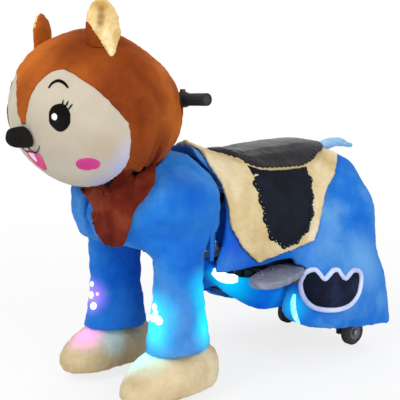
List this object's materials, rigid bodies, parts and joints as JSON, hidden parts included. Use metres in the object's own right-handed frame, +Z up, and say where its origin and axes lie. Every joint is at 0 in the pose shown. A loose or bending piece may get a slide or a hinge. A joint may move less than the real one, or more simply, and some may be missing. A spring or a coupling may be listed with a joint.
{
  "type": "ride on toy",
  "caption": "Battery ride-on plush animal: steel chassis under a padded saddle, driven rear axle, and a head, chest and front legs that steer with the handlebar.",
  "frame": {"origin": "centre of the footprint at floor level", "axes": "+Z up, +Y from head to tail, so the animal faces -Y, +X to the rider's left"},
  "size_m": [0.5226, 1.1694, 0.954],
  "materials": {
    "blue_plush": "plush",
    "pale_blue_plush": "plush",
    "cream_plush": "plush",
    "brown_plush": "plush",
    "white_plush": "short plush",
    "black_plush": "short plush",
    "dark_patch": "felt",
    "seat_leather": "soft sheen",
    "flap_leather": "soft sheen",
    "foam": "open foam",
    "plywood": "plain",
    "painted_steel": "satin black",
    "steel": "bright",
    "black_metal": "satin black",
    "black_plastic": "matte",
    "grey_plastic": "satin",
    "red_plastic": "gloss",
    "battery": "matte",
    "rubber": "matte",
    "tyre": "matte"
  },
  "bodies": {
    "chassis": {"chassis_plate": "painted_steel", "frame_spine": "painted_steel", "seat_frame": "painted_steel", "seat_board": "plywood", "footrest_bar": "painted_steel", "footrest_left": "grey_plastic", "footrest_right": "grey_plastic", "battery_left": "battery", "battery_right": "battery", "controller_box": "black_plastic", "charge_socket": "black_plastic", "drive_motor": "painted_steel", "drive_belt": "rubber", "axle_bracket_left": "painted_steel", "axle_bracket_right": "painted_steel", "body_cover_left": "blue_plush", "body_cover_right": "blue_plush", "seat_foam": "foam", "rump_cover": "blue_plush", "haunch_left": "blue_plush", "haunch_right": "blue_plush", "haunch_patch_left": "dark_patch", "haunch_patch_right": "dark_patch", "belly_cover_left": "blue_plush", "belly_cover_right": "blue_plush", "tail": "pale_blue_plush", "saddle_blanket": "cream_plush", "seat_cover": "seat_leather", "seat_flap_left": "flap_leather", "seat_flap_right": "flap_leather"},
    "steering": {"front_fork": "painted_steel", "front_axle_bolt_left": "steel", "front_axle_bolt_right": "steel", "handlebar": "black_metal", "grip_left": "rubber", "grip_right": "rubber", "switch_housing": "black_plastic", "throttle_housing": "black_plastic", "chest": "blue_plush", "front_leg_left": "blue_plush", "front_leg_right": "blue_plush", "paw_left": "cream_plush", "paw_right": "cream_plush", "head_core": "foam", "face_mask": "white_plush", "hood": "brown_plush", "nose": "black_plush", "ear_left": "cream_plush", "ear_right": "cream_plush", "cape": "brown_plush"},
    "rear_axle": {"rear_axle": "steel", "axle_pulley": "black_plastic", "rear_wheel_left": "tyre"},
    "front_wheel_left": {"front_wheel_left": "tyre"},
    "front_wheel_right": {"front_wheel_right": "tyre"},
    "rear_wheel_right": {"rear_wheel_right": "tyre"},
    "motor_shaft": {"motor_pulley": "black_plastic"},
    "throttle_lever": {"throttle_lever": "red_plastic"},
    "start_button": {"start_button": "red_plastic"}
  },
  "joints": [
    {"name": "steering_hinge", "type": "hinge", "parent": "chassis", "child": "steering", "pos_m": [0, -0.23354, 0.49], "axis": [0, 0, 1], "range_deg": [-29, 21]},
    {"name": "front_wheel_left_spin", "type": "hinge", "parent": "steering", "child": "front_wheel_left", "pos_m": [0.13667, -0.22398, 0.05], "axis": [0.9976, 0.0698, 0], "continuous": true},
    {"name": "front_wheel_right_spin", "type": "hinge", "parent": "steering", "child": "front_wheel_right", "pos_m": [-0.13667, -0.2431, 0.05], "axis": [0.9976, 0.0698, 0], "continuous": true},
    {"name": "rear_axle_spin", "type": "hinge", "parent": "chassis", "child": "rear_axle", "pos_m": [0, 0.45146, 0.04], "axis": [1, 0, 0], "continuous": true},
    {"name": "rear_wheel_right_spin", "type": "hinge", "parent": "chassis", "child": "rear_wheel_right", "pos_m": [-0.137, 0.45146, 0.04], "axis": [1, 0, 0], "continuous": true},
    {"name": "motor_shaft_spin", "type": "hinge", "parent": "chassis", "child": "motor_shaft", "pos_m": [0, 0.35946, 0.1477], "axis": [1, 0, 0], "continuous": true},
    {"name": "throttle_lever_hinge", "type": "hinge", "parent": "steering", "child": "throttle_lever", "pos_m": [-0.11596, -0.14792, 0.735], "axis": [-0.9976, -0.0698, 0], "range_deg": [0, 18], "stiffness_Nm_per_rad": 0.05, "springref_deg": -11.46},
    {"name": "start_button_press", "type": "slide", "parent": "steering", "child": "start_button", "axis": [0, 0, -1], "range_m": [0, 0.003], "stiffness_N_per_m": 300, "springref_m": -0.001}
  ],
  "couplings": [
    {"joint": "motor_shaft_spin", "follows": "rear_axle_spin", "ratio": 2}
  ]
}
